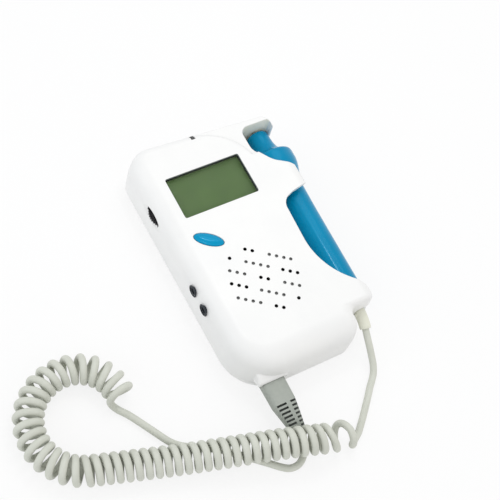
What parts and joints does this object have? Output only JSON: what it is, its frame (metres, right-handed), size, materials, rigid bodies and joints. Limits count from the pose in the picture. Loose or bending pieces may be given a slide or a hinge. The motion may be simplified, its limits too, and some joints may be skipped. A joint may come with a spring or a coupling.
{
  "type": "vascular doppler",
  "caption": "Hand-held vascular doppler: white main unit with display, speaker grille and side sockets, and a pencil probe docked in its side on a curly cord.",
  "frame": {"origin": "on the back face, in the middle of the unit's width and length", "axes": "+X across the unit towards the probe, +Y along the unit towards the hook end, +Z out of the face, as the unit lies on its back"},
  "size_m": [0.2133, 0.1976, 0.0342],
  "materials": {
    "case_white": "fine satin moulded surface",
    "window_clear": "clear flat pane",
    "foam_dark": "closed foam",
    "display_green": "reflective display cell, pale green",
    "inner_white": "plain moulded surface",
    "board_green": "solder mask",
    "chip_black": "moulded packages",
    "speaker_dark": "pressed frame and paper cone",
    "cloth_black": "thin woven dust cloth",
    "blue_gloss": "smooth gloss moulding",
    "tinned_metal": "bright tinned or nickel-plated metal",
    "pipe_smoke": "smoked light guide",
    "wheel_grey": "ribbed moulding",
    "socket_black": "moulded housing",
    "contact_gold": "gold-plated contacts",
    "cell_jacket": "plain jacketed cells",
    "lens_resin": "smooth cast face",
    "crystal_ceramic": "silvered ceramic",
    "backing_resin": "filled resin",
    "sleeve_cream": "smooth soft moulding",
    "plug_clear": "clear moulding",
    "boot_grey": "soft matte moulding",
    "cord_grey": "satin jacket"
  },
  "bodies": {
    "unit": {"front_shell": "case_white", "back_shell": "case_white", "display_window": "window_clear", "display_gasket": "foam_dark", "display_module": "display_green", "display_frame": "inner_white", "main_board": "board_green", "board_parts": "chip_black", "speaker": "speaker_dark", "speaker_cloth": "cloth_black", "button_switch": "tinned_metal", "light_pipe": "pipe_smoke", "volume_pot": "tinned_metal", "earphone_socket": "socket_black", "recording_socket": "socket_black", "probe_socket": "socket_black", "socket_pins": "contact_gold", "battery_cells": "cell_jacket", "battery_springs": "tinned_metal", "battery_plates": "tinned_metal", "case_screws": "tinned_metal", "plug_body": "plug_clear", "plug_contacts": "contact_gold", "plug_boot": "boot_grey", "plug_lead": "cord_grey", "curly_cord": "cord_grey", "probe_lead": "cord_grey"},
    "button": {"power_button": "blue_gloss"},
    "wheel": {"volume_wheel": "wheel_grey"},
    "cover": {"battery_cover": "case_white"},
    "probe": {"probe_grip": "blue_gloss", "probe_head": "blue_gloss", "probe_lens": "lens_resin", "probe_crystals": "crystal_ceramic", "probe_backing": "backing_resin", "probe_board": "board_green", "probe_sleeve": "sleeve_cream"}
  },
  "joints": [
    {"name": "button_press", "type": "slide", "parent": "unit", "child": "button", "axis": [0, 0, -1], "range_m": [0, 0.0008], "stiffness_N_per_m": 1200, "springref_m": -0.0005},
    {"name": "wheel_turn", "type": "hinge", "parent": "unit", "child": "wheel", "pos_m": [-0.0369, 0.0365, 0.0229], "axis": [0, 0, 1], "range_deg": [-135, 135]},
    {"name": "cover_slide", "type": "slide", "parent": "unit", "child": "cover", "axis": [0, 1, 0], "range_m": [0, 0.06]},
    {"name": "probe_swing", "type": "hinge", "parent": "unit", "child": "probe", "pos_m": [0.0448, 0.0625, 0.0166], "axis": [0, 0, 1], "range_deg": [0, 20]}
  ]
}
